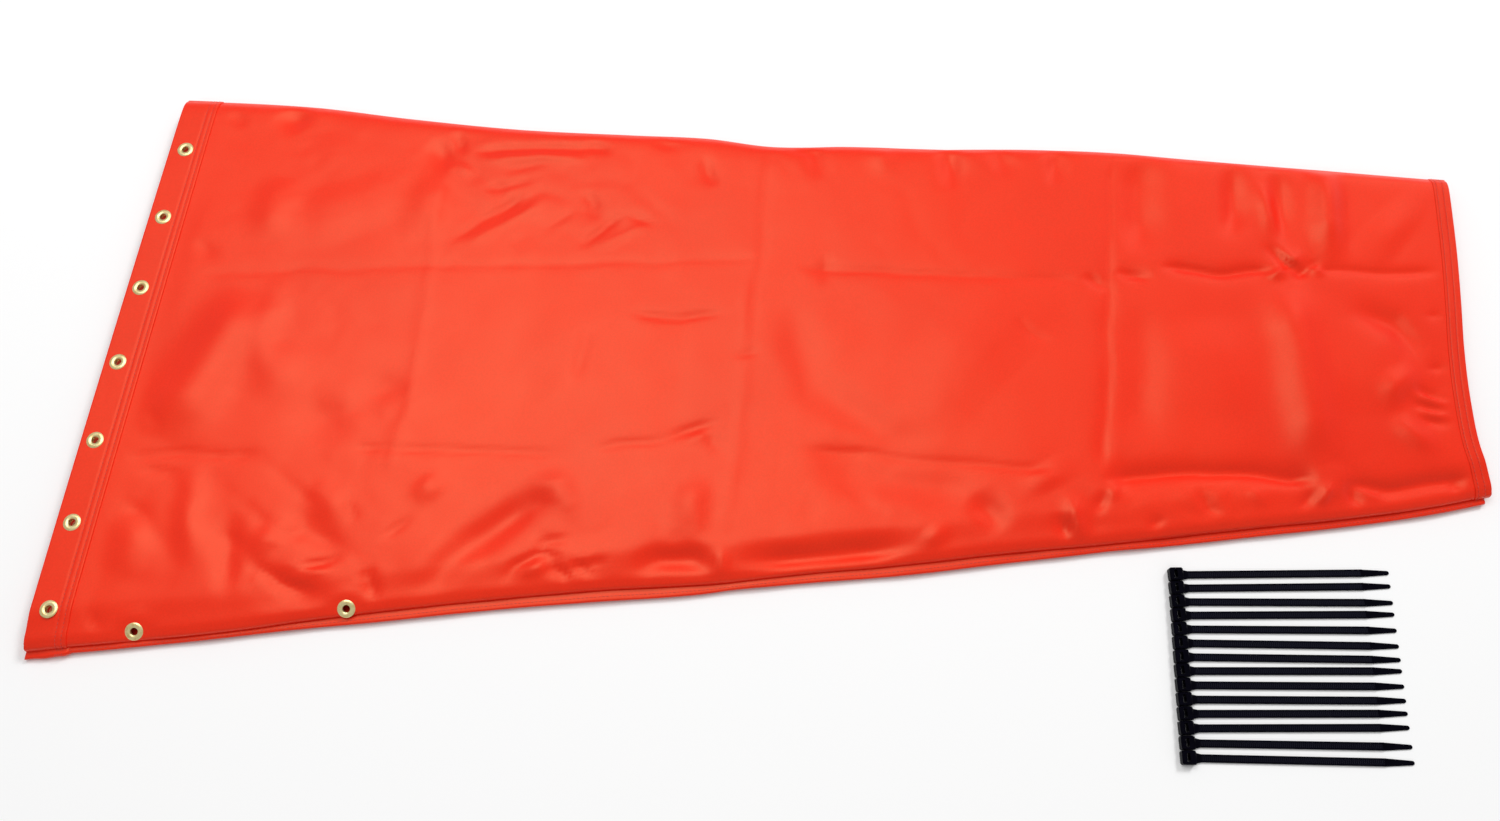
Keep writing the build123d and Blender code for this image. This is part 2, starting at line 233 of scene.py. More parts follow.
softSwells = {
    "throat swell": [
        (17, 4.4, (0.094, 0.24), (0.077, 0.0), (0.064, -0.2), (0.052, -0.32)),
    ],
    "throat field": [
        (9, 1.3, (0.114, 0.3), (0.109, 0.08), (0.118, -0.16)), (11, 1.2, (0.122, 0.04), (0.134, -0.2)),
        (11, -1.3, (0.14, -0.18), (0.165, -0.26), (0.19, -0.36)),
        (10, -1.0, (0.18, -0.18), (0.225, -0.15)), (12, 2.0, (0.092, 0.7), (0.094, 0.42)),
        (12, 2.0, (0.212, 0.78), (0.212, 0.43)), (8, -2.2, (0.08, 0.99), (0.099, 0.9)),
        (8, -1.8, (0.2, 0.87), (0.224, 0.78)), (30, 1.2, (0.14, 0.7), (0.16, 0.45)),
    ],
    "lower left": [
        (7, 1.8, (0.084, -0.41), (0.091, -0.6), (0.103, -0.78)),
        (7, -2.0, (0.114, -0.56), (0.122, -0.72), (0.132, -0.9)),
        (7, -2.0, (0.15, -0.8), (0.172, -0.88), (0.2, -0.9)),
        (8, -1.6, (0.153, -0.54), (0.182, -0.69), (0.205, -0.79)), (8, 1.4, (0.17, -0.5), (0.2, -0.64)),
        (8, 1.5, (0.14, -0.62), (0.155, -0.74)), (8, 1.6, (0.245, -0.5), (0.262, -0.6)),
        (10, 1.6, (0.05, -0.55), (0.06, -0.8)),
    ],
    "long diagonal": [
        (9.5, -3.4, (0.34, -0.58), (0.31, -0.69), (0.286, -0.78), (0.25, -0.94)),
        (8, 2.0, (0.318, -0.55), (0.342, -0.57), (0.348, -0.64), (0.34, -0.7)),
    ],
    "middle square": [
        (45, 1.3, (0.3, 0.1), (0.42, 0.08)), (40, 0.9, (0.31, -0.2), (0.42, -0.18)),
        (8, 2.0, (0.445, -0.56), (0.436, -0.68), (0.444, -0.8)),
        (7, -3.6, (0.4, -0.93), (0.42, -0.89), (0.441, -0.9), (0.457, -0.97)),
    ],
    "right of the middle": [
        (10, -1.3, (0.498, 0.22), (0.504, -0.02), (0.516, -0.2), (0.548, -0.34),
         (0.574, -0.45), (0.612, -0.5)),
        (13, -2.0, (0.518, -0.5), (0.555, -0.61), (0.603, -0.68), (0.645, -0.74)),
        (7, -2.8, (0.636, -0.72), (0.648, -0.84), (0.654, -0.92)), (40, 1.6, (0.6, 0.1), (0.66, -0.2)),
    ],
    "seam swell": [
        (8, -4.6, (0.474, -0.93), (0.515, -0.955), (0.556, -0.95), (0.595, -0.945)),
        (7, 1.8, (0.603, -0.88), (0.614, -0.95)), (16, 1.6, (0.24, -0.86), (0.3, -0.8)),
    ],
    "last fold": [
        (12, -3.0, (0.76, 1.08), (0.759, 0.67), (0.757, 0.42)),
        (14, -1.5, (0.758, 0.2), (0.754, -0.23), (0.748, -0.58)),
        (12, 1.6, (0.68, -0.62), (0.69, -0.75)),
    ],
    "tail square": [
        (14, 4.4, (0.863, 0.3), (0.868, 0.02), (0.873, -0.32), (0.877, -0.6), (0.88, -0.74)),
        (34, 1.4, (0.8, 0.1), (0.8, -0.45)), (22, 2.0, (0.93, 0.1), (0.925, -0.5)),
    ],
    "tail corner": [
        (8, -2.8, (0.908, 0.16), (0.945, 0.04), (0.967, -0.17)),
        (8, 2.4, (0.965, -0.24), (0.94, -0.32), (0.924, -0.42)),
        (8, 2.2, (0.933, -0.5), (0.955, -0.63), (0.972, -0.68)), (24, 1.4, (0.935, 0.7), (0.96, 0.55)),
    ],
    "upper tail": [
        (7, -3.0, (0.832, 1.05), (0.829, 0.75), (0.823, 0.52)),
        (5.5, 2.2, (0.852, 0.92), (0.857, 0.55)), (6, -2.6, (0.867, 1.02), (0.866, 0.75), (0.865, 0.5)),
        (9, 5.0, (0.901, 1.08), (0.899, 0.7), (0.897, 0.4)),
    ],
    "top edge": [
        (7, -3.4, (0.606, 1.14), (0.612, 0.76)), (6, -2.2, (0.7, 1.14), (0.69, 0.8)),
        (8, 1.6, (0.55, 1.1), (0.56, 0.82)), (8, -1.6, (0.65, 1.1), (0.655, 0.84)),
        (6, -1.8, (0.5, 1.12), (0.51, 0.78)),
    ],
}
# along, across, reach in mm and strength
crumples = [
    (0.27, 0.68, 62, 1.3), (0.36, 0.62, 50, 1.0), (0.1, 0.8, 60, 0.6), (0.15, -0.72, 55, 1.4),
    (0.07, -0.6, 40, 0.9), (0.36, -0.88, 42, 1.3), (0.44, -0.86, 34, 1.0), (0.62, 0.6, 70, 0.5),
    (0.55, -0.8, 50, 0.6), (0.87, 0.6, 34, 0.8), (0.8, -0.86, 34, 1.0), (0.9, -0.92, 34, 1.1),
    (0.96, -0.4, 26, 0.9), (0.72, -0.85, 26, 1.2), (0.44, 0.85, 50, 0.7), (0.16, 0.1, 70, 0.5),
    (0.2, -0.25, 50, 0.7),
]
reliefSettings = {
    "strength": 1.3, "drift": 0.9, "driftSize": 0.085, "ripple": 0.3, "rippleSize": 0.03,
    "bend": 2.6, "bendSize": 0.034, "crumple": 2.0, "crumpleSize": (0.036, 0.019),
    "crumpleFall": 1.2, "crumpleLevel": 0.3, "crumpleFloor": -0.1, "smallShare": 0.4,
    "endRun": {"pressed": 16, "swell": 34}, "endShare": 0.45, "endStart": -0.15,
    "crestRound": 0.05, "crestFall": 1.25, "crestLift": 0.28, "swellFall": 0.8,
    "seeds": {"along": 1.3, "across": 5.9, "large": 11.7, "small": 2.9, "drift": 3.7, "ripple": 8.1},
    "calmBand": (25, 40), "calmHem": (9, 18), "calmEdge": 7, "calmEyelet": (7, 16),
    "top": 22.5, "topBlend": 2,
}


def strokeRelief(s, y, strokes, kind):
    k = reliefSettings
    lift = np.zeros_like(s)
    ends = k["endRun"][kind] * mm
    for width, height, *places in strokes:
        along = [a * laid["length"] for a, _ in places]
        across = [b * halfWidth(a * laid["length"]) for a, b in places]
        reach, best, walked = np.full_like(s, 1e9), np.zeros_like(s), 0
        for s1, s2, y1, y2 in zip(along, along[1:], across, across[1:]):
            run = math.hypot(s2 - s1, y2 - y1)
            t = ((s - s1) * (s2 - s1) + (y - y1) * (y2 - y1)) / run**2
            inside = np.clip(t, 0, 1)
            away = np.hypot(s - s1 - inside * (s2 - s1), y - y1 - inside * (y2 - y1))
            best = np.where(away < reach, walked + inside * run, best)
            reach = np.minimum(reach, away)
            walked += run
        soft = min(ends, walked * k["endShare"])
        early = k["endStart"] * soft
        fade = smoothStep(best, early, soft) * smoothStep(walked - best, early, soft)
        away = reach / (width * mm)
        # a pressed fold has a crest, a swell is round
        if kind == "pressed":
            shape = np.exp(-np.sqrt(away**2 + k["crestRound"]) * k["crestFall"] + k["crestLift"])
        else:
            shape = np.exp(-k["swellFall"] * away**2)
        lift += height * mm * fade * shape
    return lift


def smoothNoise(x, y, size, seed):
    flat = [noise.noise(Vector((a / size, b / size, seed))) for a, b in zip(x.ravel(), y.ravel())]
    return np.array(flat).reshape(x.shape)


def lieTrue(x, y, top):
    # around the two body eyelets the cloth lies in the plane that their flanges grip
    near, far = (v * mm for v in reliefSettings["calmEyelet"])
    for name in ("body_eyelet_1", "body_eyelet_2"):
        place, axis = np.array(mounts[name]["pos_m"]), np.array(mounts[name]["axis"])
        place = place + axis * laid["overMount"]
        plane = place[2] - (axis[0] * (x - place[0]) + axis[1] * (y - place[1])) / axis[2]
        top = plane + (top - plane) * smoothStep(np.hypot(x - place[0], y - place[1]), near, far)
    return top


def upperRelief(s, y):
    k = reliefSettings
    seeds = k["seeds"]
    x, v = onGround(s, y)
    # no fold in cloth runs dead straight
    bentS = s + k["bend"] * mm * smoothNoise(x, v, k["bendSize"], seeds["along"])
    bentY = y + k["bend"] * mm * smoothNoise(x, v, k["bendSize"], seeds["across"])
    lift = np.zeros_like(s)
    for group, kind in ((pressedLines, "pressed"), (softSwells, "swell")):
        for strokes in group.values():
            lift += k["strength"] * strokeRelief(bentS, bentY, strokes, kind)
    patch = np.zeros_like(s)
    for alongShare, acrossShare, radius, amount in crumples:
        middle = alongShare * laid["length"]
        away = np.hypot(s - middle, y - acrossShare * halfWidth(middle)) / (radius * mm)
        patch = np.maximum(patch, amount * np.exp(-(away**2) * k["crumpleFall"]))
    large, small = k["crumpleSize"]
    net = k["crumpleLevel"] - np.abs(smoothNoise(x + 0.4 * v, v, large, seeds["large"]))
    net = net - k["smallShare"] * np.abs(smoothNoise(x, v - 0.3 * x, small, seeds["small"]))
    lift -= k["crumple"] * mm * patch * np.maximum(net, k["crumpleFloor"])
    lift += k["drift"] * mm * smoothNoise(x, v, k["driftSize"], seeds["drift"])
    lift += k["ripple"] * mm * smoothNoise(x, v, k["rippleSize"], seeds["ripple"])
    return lift


def skin(s, t):
    # the sleeve's outer face. t runs round it: 0-1 over the top from seam to fold, 1-2 round the
    # folded edge, 2-3 back under it, 3-4 round the seam edge
    s, t = np.broadcast_arrays(np.asarray(s, float), np.asarray(t, float) % 4)
    far, near, r = farEdge(s), nearEdge(s), laid["edgeRound"]
    near0, near1 = (v * mm for v in reliefSettings["calmBand"])
    far1, far0 = (laid["length"] - v * mm for v in reliefSettings["calmHem"])
    calm = smoothStep(s, near0, near1) * (1 - smoothStep(s, far0, far1))
    across = np.where(t < 1, t, np.where(t < 2, 1, np.where(t < 3, 3 - t, 0)))
    y = near + r + across * (far - near - 2 * r)
    side = softMin(y - near, far - y, laid["crownBlend"])
    margin = laid["marginHeight"] - laid["edgeHeight"]
    rise = smoothStep(side, laid["margin"], laid["shoulder"])
    rise = rise + (1 - np.exp(-side / laid["farRise"]) - rise) * smoothStep(y, 0, laid["farRun"])
    crown = laid["edgeHeight"] + margin * (1 - np.exp(-side / laid["edgeRise"]))
    crown = crown + (laid["height"] - laid["marginHeight"]) * rise
    edgeFade = 1 - np.exp(-((side / (reliefSettings["calmEdge"] * mm)) ** 2))
    top = laid["underside"] + crown + upperRelief(s, y) * calm * edgeFade
    ceiling = np.full_like(top, reliefSettings["top"] * mm)
    top = softMin(top, ceiling, reliefSettings["topBlend"] * mm)
    top = lieTrue(*onGround(s, y), top)
    sag = calm * smoothStep(side, 0, laid["sagRun"])
    bottom = laid["underside"] * (1 - laid["sagShare"] * sag)
    centre, reach = (top + bottom) / 2, (top - bottom) / 2
    turn = np.where(t < 2, t - 1, t - 3) * math.pi
    onFar, onNear, under = (t >= 1) & (t < 2), t >= 3, (t >= 2) & (t < 3)
    y = np.where(onFar, y + r * np.sin(turn), np.where(onNear, y - r * np.sin(turn), y))
    z = np.where(onFar, centre + reach * np.cos(turn), np.where(onNear, centre - reach * np.cos(turn), top))
    z = np.where(under, bottom, z)
    x, y = onGround(s, y)
    return np.stack([x, y, z], -1)


def outward(s, t, step=0.7 * mm):
    # face normals of the skin, by small steps along and around
    s, t = np.broadcast_arrays(np.asarray(s, float), np.asarray(t, float))
    dt = np.where((t % 4 >= 1) & (t % 4 < 2) | (t % 4 >= 3), 0.04, 0.004)
    along = skin(s + step, t) - skin(s - step, t)
    around = skin(s, t + dt) - skin(s, t - dt)
    n = np.cross(along, around)
    return n / np.maximum(np.linalg.norm(n, axis=-1, keepdims=True), 1e-12)


def roundTheSleeve(top, edge, under):
    # places round the loop, closer together on the two edges
    counts = (top, edge, under, edge)
    return np.concatenate([side + np.linspace(0, 1, n, endpoint=False) for side, n in enumerate(counts)])


# mesh helpers

def link(obj):
    scene.collection.objects.link(obj)
    return obj


def gridSteps(rows, columns, closeRows):
    return np.meshgrid(np.arange(rows if closeRows else rows - 1), np.arange(columns), indexing="ij")


def gridFaces(rows, columns, closeRows):
    # four corners for each face, wound so that it looks outwards
    i, j = gridSteps(rows, columns, closeRows)
    i2, j2 = (i + 1) % rows, (j + 1) % columns
    corners = [i * columns + j, i2 * columns + j, i2 * columns + j2, i * columns + j2]
    return np.stack(corners, -1).reshape(-1, 4).tolist()


def gridMesh(name, points, closeRows, uv):
    # points is rows by columns by 3; every row is a closed loop round the sleeve
    rows, columns = points.shape[:2]
    mesh = bpy.data.meshes.new(name)
    mesh.from_pydata(points.reshape(-1, 3).tolist(), [], gridFaces(rows, columns, closeRows))
    mesh.update()
    i, j = gridSteps(rows, columns, closeRows)
    across, along = uv
    a = np.stack([along[i], along[i + 1], along[i + 1], along[i]], -1).reshape(-1)
    b = np.stack([across[j], across[j], across[j + 1], across[j + 1]], -1).reshape(-1)
    layer = mesh.uv_layers.new(name="ClothUV")
    layer.data.foreach_set("uv", np.stack([a, b], -1).reshape(-1).astype(np.float32))
    mesh.polygons.foreach_set("use_smooth", [True] * len(mesh.polygons))
    return link(bpy.data.objects.new(name, mesh))


def faceOutwards(obj):
    work = bmesh.new()
    work.from_mesh(obj.data)
    bmesh.ops.recalc_face_normals(work, faces=work.faces)
    work.to_mesh(obj.data)
    work.free()
    return obj


def cappedStrip(name, rings):
    # one solid from rings of points, with a cap on each end and its plan as cloth coordinates
    points = np.array(rings)
    rows, columns = points.shape[:2]
    faces = gridFaces(rows, columns, False)
    faces += [list(range(columns)), [(rows - 1) * columns + i for i in reversed(range(columns))]]
    mesh = bpy.data.meshes.new(name)
    mesh.from_pydata(points.reshape(-1, 3).tolist(), [], faces)
    plan = np.array([mesh.vertices[c.vertex_index].co[:2] for c in mesh.loops], np.float32)
    mesh.uv_layers.new(name="ClothUV").data.foreach_set("uv", plan.ravel())
    mesh.polygons.foreach_set("use_smooth", [True] * len(mesh.polygons))
    return faceOutwards(link(bpy.data.objects.new(name, mesh)))


def applied(obj):
    # the evaluated mesh, with every modifier applied and removed
    bpy.context.view_layer.update()
    evaluated = obj.evaluated_get(bpy.context.evaluated_depsgraph_get())
    mesh = bpy.data.meshes.new_from_object(evaluated)
    obj.modifiers.clear()
    old = obj.data
    obj.data = mesh
    bpy.data.meshes.remove(old)
    return obj


def dress(obj, material):
    obj.data.materials.clear()
    obj.data.materials.append(material)
    return obj


def pinAt(place, axis, radius, height, sides=40):
    angles = np.linspace(0, 2 * math.pi, sides, endpoint=False)
    turn = Vector((0, 0, 1)).rotation_difference(Vector(axis)).to_matrix()
    verts = []
    for level in (-height / 2, height / 2):
        ring = [Vector((radius * math.cos(a), radius * math.sin(a), level)) for a in angles]
        verts += [Vector(place) + turn @ v for v in ring]
    faces = [(i, (i + 1) % sides, sides + (i + 1) % sides, sides + i) for i in range(sides)]
    faces += [tuple(reversed(range(sides))), tuple(range(sides, 2 * sides))]
    return verts, faces


def punch(obj, places, height):
    # opens the eyelet holes through a closed cloth piece
    verts, faces = [], []
    for place, axis in places:
        base = len(verts)
        pinVerts, pinFaces = pinAt(place, axis, laid["holeRadius"], height)
        verts += pinVerts
        faces += [tuple(base + i for i in face) for face in pinFaces]
    cutter = bpy.data.meshes.new("punch")
    cutter.from_pydata(verts, [], faces)
    tool = link(bpy.data.objects.new("punch", cutter))
    cut = obj.modifiers.new("Punch", "BOOLEAN")
    cut.operation, cut.solver, cut.object = "DIFFERENCE", "EXACT", tool
    applied(obj)
    bpy.data.objects.remove(tool)
    return obj


print("helpers ready")


# finishes

def newMaterial(name):
    material = bpy.data.materials.new(name)
    material.use_nodes = True
    nodes, links = material.node_tree.nodes, material.node_tree.links
    return material, nodes, links, nodes["Principled BSDF"]


def ramp(nodes, links, source, stops):
    node = nodes.new("ShaderNodeValToRGB")
    elements = node.color_ramp.elements
    while len(elements) < len(stops):
        elements.new(0.5)
    for element, (place, colour) in zip(elements, stops):
        element.position = place
        element.color = (*colour, 1)
    links.new(source, node.inputs["Fac"])
    return node.outputs["Color"]


def grain(nodes, links, vector, scale, detail=4.0, roughness=0.55):
    node = nodes.new("ShaderNodeTexNoise")
    node.inputs["Scale"].default_value = scale
    node.inputs["Detail"].default_value = detail
    node.inputs["Roughness"].default_value = roughness
    links.new(vector, node.inputs["Vector"])
    return node.outputs["Fac"]


def spread(nodes, links, source, ends):
    # a grain's 0 to 1, spread between two values
    node = nodes.new("ShaderNodeMapRange")
    node.inputs["To Min"].default_value, node.inputs["To Max"].default_value = ends
    links.new(source, node.inputs["Value"])
    return node.outputs["Result"]


def bump(nodes, links, source, depth, under=None):
    # depth is the strength and the height of the unevenness
    node = nodes.new("ShaderNodeBump")
    node.inputs["Strength"].default_value, node.inputs["Distance"].default_value = depth
    links.new(source, node.inputs["Height"])
    if under:
        links.new(under, node.inputs["Normal"])
    return node.outputs["Normal"]


clothFinish = {
    "deep": (0.9, 0.014, 0.003), "usual": (0.95, 0.017, 0.0034), "bright": (0.97, 0.022, 0.0042),
    "dust": (0.82, 0.8, 0.78), "dustShare": 0.35,
    "roughness": (0.29, 0.43), "specular": 0.62, "tint": (1.0, 0.86, 0.46),
    "threadSize": 0.42 * mm, "weave": (0.35, 0.035 * mm),
    "grain": (0.5, 0.12 * mm), "uneven": (0.6, 0.5 * mm),
    "scales": {"drift": 6.0, "speck": 900.0, "gloss": 38.0, "grain": 160.0, "uneven": 34.0},
}


def clothMaterial(name, paintedShade=1.0):
    # coated cloth: faint weave under a smooth satin coat; a second argument below 1 darkens every tone as painted
    # shade
    k, scales = clothFinish, clothFinish["scales"]
    material, nodes, links, shader = newMaterial(name)
    where = nodes.new("ShaderNodeTexCoord").outputs["Object"]
    deep, usual, bright = (tuple(c * paintedShade for c in k[tone]) for tone in ("deep", "usual", "bright"))
    drift = grain(nodes, links, where, scales["drift"], 3.0)
    tone = ramp(nodes, links, drift, [(0.3, deep), (0.52, usual), (0.75, bright)])
    speck = grain(nodes, links, where, scales["speck"], 2.0)
    dust = nodes.new("ShaderNodeMix")
    dust.data_type, dust.blend_type = "RGBA", "MULTIPLY"
    dust.inputs["Factor"].default_value = k["dustShare"]
    links.new(tone, dust.inputs["A"])
    links.new(ramp(nodes, links, speck, [(0.35, k["dust"]), (0.65, (1, 1, 1))]), dust.inputs["B"])
    links.new(dust.outputs["Result"], shader.inputs["Base Color"])
    gloss = grain(nodes, links, where, scales["gloss"], 5.0)
    links.new(spread(nodes, links, gloss, k["roughness"]), shader.inputs["Roughness"])
    shader.inputs["Specular IOR Level"].default_value = k["specular"]
    shader.inputs["Specular Tint"].default_value = (*k["tint"], 1)
    uv = nodes.new("ShaderNodeUVMap")
    uv.uv_map = "ClothUV"
    last = None
    for direction in ("X", "Y"):
        yarn = nodes.new("ShaderNodeTexWave")
        yarn.wave_type, yarn.bands_direction, yarn.wave_profile = "BANDS", direction, "SIN"
        yarn.inputs["Scale"].default_value = math.pi / 10 / k["threadSize"]
        yarn.inputs["Distortion"].default_value = 0.4
        yarn.inputs["Detail"].default_value = 1.0
        links.new(uv.outputs["UV"], yarn.inputs["Vector"])
        last = bump(nodes, links, yarn.outputs["Fac"], k["weave"], last)
    fine = grain(nodes, links, where, scales["grain"], 6.0, 0.6)
    last = bump(nodes, links, fine, k["grain"], last)
    uneven = grain(nodes, links, where, scales["uneven"], 2.0, 0.5)
    last = bump(nodes, links, uneven, k["uneven"], last)
    links.new(last, shader.inputs["Normal"])
    return material


threadFinish = {
    "deep": (0.52, 0.018, 0.006), "bright": (0.80, 0.05, 0.018),
    "roughness": 0.55, "sheen": 0.3, "twist": (0.5, 0.06 * mm),
}


def threadMaterial():
    k = threadFinish
    material, nodes, links, shader = newMaterial("sewingThread")
    where = nodes.new("ShaderNodeTexCoord").outputs["Object"]
    twist = grain(nodes, links, where, 2400.0, 2.0)
    tone = ramp(nodes, links, twist, [(0.3, k["deep"]), (0.7, k["bright"])])
    links.new(tone, shader.inputs["Base Color"])
    shader.inputs["Roughness"].default_value = k["roughness"]
    shader.inputs["Sheen Weight"].default_value = k["sheen"]
    links.new(bump(nodes, links, twist, k["twist"]), shader.inputs["Normal"])
    return material


brassFinish = {
    "eyelet": {"light": (1.0, 0.86, 0.44), "dark": (0.84, 0.62, 0.24), "roughness": (0.22, 0.38)},
    "washer": {"light": (0.9, 0.72, 0.4), "dark": (0.6, 0.42, 0.2), "roughness": (0.28, 0.44)},
    "metallic": 0.82, "polish": 1.06, "wear": (0.2, 0.02 * mm),
}


def brassMaterial(name, kind):
    # rolled brass: patchy tone from dull to polished, small handling marks
    k = brassFinish
    light, dark, roughness = k[kind]["light"], k[kind]["dark"], k[kind]["roughness"]
    polished = tuple(min(1, c * k["polish"]) for c in light)
    material, nodes, links, shader = newMaterial(name)
    where = nodes.new("ShaderNodeTexCoord").outputs["Object"]
    stain = grain(nodes, links, where, 420.0, 5.0, 0.6)
    tone = ramp(nodes, links, stain, [(0.32, dark), (0.55, light), (0.8, polished)])
    links.new(tone, shader.inputs["Base Color"])
    shader.inputs["Metallic"].default_value = k["metallic"]
    worn = grain(nodes, links, where, 1500.0, 4.0)
    links.new(spread(nodes, links, worn, roughness), shader.inputs["Roughness"])
    marks = bump(nodes, links, grain(nodes, links, where, 700.0, 3.0), k["wear"])
    links.new(marks, shader.inputs["Normal"])
    return material


nylonFinish = {
    "deep": (0.0008, 0.0006, 0.0016), "bright": (0.0016, 0.0013, 0.0036),
    "roughness": (0.24, 0.36), "specular": 0.06, "tint": (0.6, 0.62, 1.0), "grain": (0.2, 0.02 * mm),
}


def nylonMaterial():
    # moulded black nylon: fine matt grain with soft shine
    k = nylonFinish
    material, nodes, links, shader = newMaterial("blackNylon")
    where = nodes.new("ShaderNodeTexCoord").outputs["Object"]
    cloud = grain(nodes, links, where, 130.0, 4.0)
    tone = ramp(nodes, links, cloud, [(0.3, k["deep"]), (0.7, k["bright"])])
    links.new(tone, shader.inputs["Base Color"])
    shine = grain(nodes, links, where, 520.0, 4.0)
    links.new(spread(nodes, links, shine, k["roughness"]), shader.inputs["Roughness"])
    shader.inputs["Specular IOR Level"].default_value = k["specular"]
    shader.inputs["Specular Tint"].default_value = (*k["tint"], 1)
    fine = bump(nodes, links, grain(nodes, links, where, 1100.0, 3.0), k["grain"])
    links.new(fine, shader.inputs["Normal"])
    return material


sleeveCloth = clothMaterial("sleeveCloth")
# the band and seam cloths are darker copies of the sleeve cloth: their darkening is painted shade on the folded
# band, tab, hem and seam lip
bandCloth = clothMaterial("bandCloth", 0.97)
seamCloth = clothMaterial("seamCloth", 0.93)
thread = threadMaterial()
brass = brassMaterial("brass", "eyelet")
brassWasher = brassMaterial("brassWasher", "washer")
nylon = nylonMaterial()
print("finishes ready")


# the sleeve: one tube of cloth, laid flat

sleeveMesh = {
    "top": 134, "edge": 5, "under": 18, "spacing": (3.4, 2.8), "finer": (0.6, 0.68), "pin": 6 * mm,
}


def sleeveStations(start, end):
    # rows along the sleeve, closer where the folds are sharp
    coarse, fine = (v * mm for v in sleeveMesh["spacing"])
    stations, s = [start], start
    while s < end - fine:
        s += fine + (coarse - fine) * (1 - smoothStep(s / laid["length"], *sleeveMesh["finer"]))
        stations.append(float(s))
    stations[-1] = end
    return np.array(stations)


def aroundLength(t):
    loop = skin(np.full(len(t) + 1, laid["foldStation"]), np.append(t, t[0] + 4 - 1e-6))
    return np.append(0, np.cumsum(np.linalg.norm(np.diff(loop, axis=0), axis=1)))


def makeSleeve():
    k = sleeveMesh
    t = roundTheSleeve(k["top"], k["edge"], k["under"])
    s = sleeveStations(bandEnd - laid["tuck"], hemStart + laid["tuck"])
    grid = skin(s[:, None], t[None, :])
    obj = gridMesh("sleeve", grid, False, (aroundLength(t), s))
    thick = obj.modifiers.new("Ply", "SOLIDIFY")
    thick.thickness, thick.offset = laid["ply"], -1
    applied(obj)
    places = [(mounts[n]["pos_m"], mounts[n]["axis"]) for n in ("body_eyelet_1", "body_eyelet_2")]
    return punch(obj, places, k["pin"])


sleeve = dress(makeSleeve(), sleeveCloth)
print("sleeve made,", len(sleeve.data.polygons), "faces")


# folded bands at both ends

bandShape = {
    "throat": {"outside": 0.6, "inside": -1.2, "rows": (18.6, 22.2), "dip": 0.3, "across": 190},
    "tail": {"outside": 0.55, "inside": -0.9, "rows": (4.6, 9.0), "dip": 0.26, "across": 120},
    "edge": 6, "under": 60, "dipWidth": 0.55, "endDip": 0.12, "endWidth": 1.2, "pin": 60 * mm,
}


def bandProfile(width, k, count=30):
    # closed outline of the folded cloth: (distance in from the end edge, distance out of the skin), in mm
    rim = (k["outside"] - k["inside"]) / 2
    middle = (k["outside"] + k["inside"]) / 2
    top = []
    for d in np.linspace(rim, width, count):
        dips = sum(k["dip"] * math.exp(-(((d - row) / bandShape["dipWidth"]) ** 2)) for row in k["rows"])
        dips += bandShape["endDip"] * math.exp(-(((d - width) / bandShape["endWidth"]) ** 2))
        top.append((d, k["outside"] - dips))
    back = [(width, k["outside"] * 0.3), (width, k["inside"] * 0.6)]
    back += [(d, k["inside"]) for d in np.linspace(width - 0.3, rim, 9)]
    turn = np.linspace(0, math.pi, 9)[1:-1]
    nose = [(rim - rim * math.sin(a), middle - rim * math.cos(a)) for a in turn]
    return top + back + nose


def makeBand(name, width, k, fromTail):
    t = roundTheSleeve(k["across"], bandShape["edge"], bandShape["under"])
    outline = bandProfile(width, k)
    s = np.array([d * mm / math.cos(lean) for d, _ in outline])
    if fromTail:
        s = laid["length"] - s
    lift = np.array([o * mm for _, o in outline])
    base, normal = skin(s[:, None], t[None, :]), outward(s[:, None], t[None, :])
    points = base + normal * lift[:, None, None]
    walk = np.append(0, np.cumsum(np.hypot(*np.diff(np.array(outline + outline[:1]), axis=0).T))) * mm
    if fromTail:
        points = points[::-1]
    return gridMesh(name, points, True, (aroundLength(t), walk))


throatBand = makeBand("throatBand", laid["bandWidth"] / mm, bandShape["throat"], False)
eyeletPlaces = [(mounts[f"throat_eyelet_{n}"]["pos_m"], (0, 0, 1)) for n in range(1, 8)]
throatBand = dress(punch(throatBand, eyeletPlaces, bandShape["pin"]), bandCloth)
tailHem = dress(makeBand("tailHem", laid["hemWidth"] / mm, bandShape["tail"], True), seamCloth)
print("bands made")


# the side seam: the stitched edges of the cloth, standing out beside the sleeve

seamShape = {
    "thickness": 2.3, "drop": 1.5, "inner": 2.6, "step": 2.4, "wave": 0.35, "restart": 0.16,
    "widths": [(0, 3.4), (0.05, 3.6), (0.1, 3.2), (0.15, 3.4), (0.19, 4.6), (0.22, 5.6),
               (0.3, 6.0), (0.45, 5.5), (0.47, 4.6), (0.5, 5.2), (0.7, 5.0), (0.73, 4.2),
               (0.76, 4.8), (0.9, 4.6), (1, 4.0)],
}


def roundEdge(outer, low, high):
    # the rounded outer edge of folded cloth, from its top to its bottom
    mid, reach = (low + high) / 2, (high - low) / 2
    turn = np.linspace(math.pi / 2, -math.pi / 2, 9)
    return [(outer + reach * (1 - math.cos(a)), mid + reach * math.sin(a)) for a in turn]


def standUp(s, outline):
    # an outline of (across, height) at one station, as points of the frame
    x, y = onGround(np.full(len(outline), s), np.array([p[0] for p in outline]))
    return np.stack([x, y, [p[1] for p in outline]], -1)


def seamSection(s):
    # the lip's outline at one station: rounded outer edge, held flat by the stitches
    k = seamShape
    wide = mm * easyCurve(k["widths"], s / laid["length"])
    wave = mm * k["wave"] * math.sin(s * 95) * math.sin(s * 37 + 1)
    low, high = k["drop"] * mm + wave * 0.5, (k["drop"] + k["thickness"]) * mm + wave
    line = nearEdge(s)
    inner, outer = line + k["inner"] * mm, line - wide
    ring = [(inner, high), (line - 0.9 * mm, high - 0.15 * mm), (line - wide * 0.55, high + 0.05 * mm)]
    ring += roundEdge(outer, low, high)
    ring += [(line - wide * 0.55, low), (line, low), (inner, low)]
    return ring


